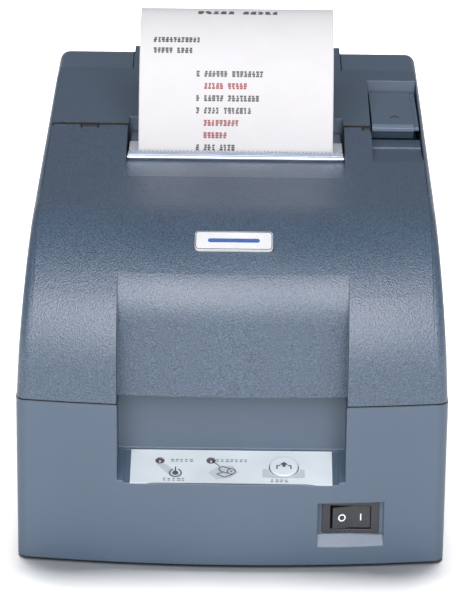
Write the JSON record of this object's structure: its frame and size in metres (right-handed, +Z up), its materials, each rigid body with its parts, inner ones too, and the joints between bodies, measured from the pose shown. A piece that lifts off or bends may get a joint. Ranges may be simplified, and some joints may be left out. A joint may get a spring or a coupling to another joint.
{
  "type": "receipt printer",
  "caption": "Desktop receipt printer with an impact head, a hinged front cover, a hinged roll cover with a release lever, a tear bar and a paper roll.",
  "frame": {"origin": "on the table, under the middle of the case", "axes": "+X to the printer's right as its user sees it, +Y to the rear, +Z up"},
  "size_m": [0.16, 0.248, 0.1759],
  "materials": {
    "case_plastic": "satin",
    "cover_plastic": "textured",
    "lever_plastic": "satin",
    "dark_plastic": "satin",
    "black_plastic": "gloss",
    "white_plastic": "satin",
    "label_film": "satin",
    "grey_plastic": "satin",
    "amber_lens": "gloss",
    "steel": "satin",
    "bright_steel": "polished",
    "brass": "satin",
    "rubber": "matte",
    "paper": "matte",
    "cardboard": "matte",
    "ribbon_cloth": "matte",
    "board": "gloss"
  },
  "bodies": {
    "base": {"lower_case": "case_plastic", "upper_case": "case_plastic", "rubber_feet": "rubber", "case_screws": "steel", "cover_hinge_pins": "steel", "cover_hinge_brackets": "dark_plastic", "roll_cover_pins": "steel", "latch_catch": "steel", "control_label": "label_film", "fault_light": "amber_lens", "paper_light": "amber_lens", "control_board": "board", "feed_switch": "black_plastic", "switch_body": "black_plastic", "paper_web": "paper", "receipt": "paper", "roll_bucket": "dark_plastic", "paper_guide_bar": "dark_plastic", "paper_exit_guide": "case_plastic", "guide_plate": "bright_steel", "chassis": "steel", "chassis_screws": "steel", "feed_motor": "steel", "platen": "steel", "carriage_shaft": "bright_steel", "guide_rail": "steel", "idler_post": "steel", "drive_belt": "rubber", "carriage_motor": "steel", "belt_shelf": "steel", "ribbon_cassette": "dark_plastic", "ribbon": "ribbon_cloth", "main_board": "board", "board_spacers": "brass", "board_parts": "black_plastic", "interface_panel": "steel", "power_inlet": "black_plastic", "drawer_jack": "black_plastic", "data_connector": "steel"},
    "printer_cover": {"printer_cover": "cover_plastic", "tear_bar": "bright_steel", "badge": "white_plastic"},
    "roll_cover": {"roll_cover": "case_plastic"},
    "cover_lever": {"cover_lever": "lever_plastic", "lever_pin": "steel"},
    "feed_button": {"feed_button": "grey_plastic"},
    "power_rocker": {"power_rocker": "black_plastic"},
    "paper_roll": {"paper_roll": "paper", "roll_core": "cardboard"},
    "feed_roller": {"feed_roller": "rubber", "feed_shaft": "steel", "feed_gear": "white_plastic"},
    "idler_gear": {"idler_gear": "white_plastic"},
    "motor_pinion": {"motor_pinion": "brass"},
    "pinch_roller": {"pinch_roller": "dark_plastic"},
    "carriage": {"carriage": "dark_plastic", "print_head": "steel"},
    "motor_pulley": {"motor_pulley": "brass"},
    "idler_pulley": {"idler_pulley": "white_plastic"},
    "ribbon_knob": {"ribbon_knob": "grey_plastic"}
  },
  "joints": [
    {"name": "printer_cover_hinge", "type": "hinge", "parent": "base", "child": "printer_cover", "pos_m": [0, 0.007, 0.1293], "axis": [-1, 0, 0], "range_deg": [0, 45]},
    {"name": "roll_cover_hinge", "type": "hinge", "parent": "base", "child": "roll_cover", "pos_m": [0, 0.116, 0.114], "axis": [-1, 0, 0], "range_deg": [0, 80]},
    {"name": "lever_lift", "type": "hinge", "parent": "roll_cover", "child": "cover_lever", "pos_m": [0.0635, 0.054, 0.127], "axis": [-1, 0, 0], "range_deg": [0, 12], "stiffness_Nm_per_rad": 0.15, "springref_deg": -8.59},
    {"name": "button_press", "type": "slide", "parent": "base", "child": "feed_button", "axis": [0, 0.319, -0.9478], "range_m": [0, 0.0006], "stiffness_N_per_m": 500, "springref_m": -0.0006},
    {"name": "rocker_tilt", "type": "hinge", "parent": "base", "child": "power_rocker", "pos_m": [0.0447, -0.1174, 0.019], "axis": [0, 0, 1], "range_deg": [-16, 0]},
    {"name": "roll_spin", "type": "hinge", "parent": "base", "child": "paper_roll", "pos_m": [0, 0.069, 0.0888], "axis": [1, 0, 0], "continuous": true},
    {"name": "feed_spin", "type": "hinge", "parent": "base", "child": "feed_roller", "pos_m": [0, -0.009, 0.062], "axis": [1, 0, 0], "continuous": true},
    {"name": "idler_spin", "type": "hinge", "parent": "base", "child": "idler_gear", "pos_m": [-0.0637, 0.013, 0.062], "axis": [1, 0, 0], "continuous": true},
    {"name": "pinion_spin", "type": "hinge", "parent": "base", "child": "motor_pinion", "pos_m": [-0.0637, 0.021, 0.04814], "axis": [1, 0, 0], "continuous": true},
    {"name": "pinch_spin", "type": "hinge", "parent": "base", "child": "pinch_roller", "pos_m": [0, -0.0213, 0.062], "axis": [1, 0, 0], "continuous": true},
    {"name": "carriage_slide", "type": "slide", "parent": "base", "child": "carriage", "axis": [1, 0, 0], "range_m": [-0.024, 0.024]},
    {"name": "motor_pulley_spin", "type": "hinge", "parent": "base", "child": "motor_pulley", "pos_m": [-0.05, -0.062, 0.075], "axis": [0, 0, 1], "range_deg": [-215, 215]},
    {"name": "idler_pulley_spin", "type": "hinge", "parent": "base", "child": "idler_pulley", "pos_m": [0.05, -0.062, 0.075], "axis": [0, 0, 1], "range_deg": [-215, 215]},
    {"name": "ribbon_knob_turn", "type": "hinge", "parent": "base", "child": "ribbon_knob", "pos_m": [-0.048, -0.058, 0.115], "axis": [0, 0, 1], "continuous": true}
  ],
  "couplings": [
    {"joint": "idler_spin", "follows": "feed_spin", "ratio": -1.2},
    {"joint": "pinion_spin", "follows": "feed_spin", "ratio": 2},
    {"joint": "pinch_spin", "follows": "feed_spin", "ratio": -1.5556},
    {"joint": "motor_pulley_spin", "follows": "carriage_slide", "rad_per_m": -153.85},
    {"joint": "idler_pulley_spin", "follows": "carriage_slide", "rad_per_m": -153.85}
  ]
}
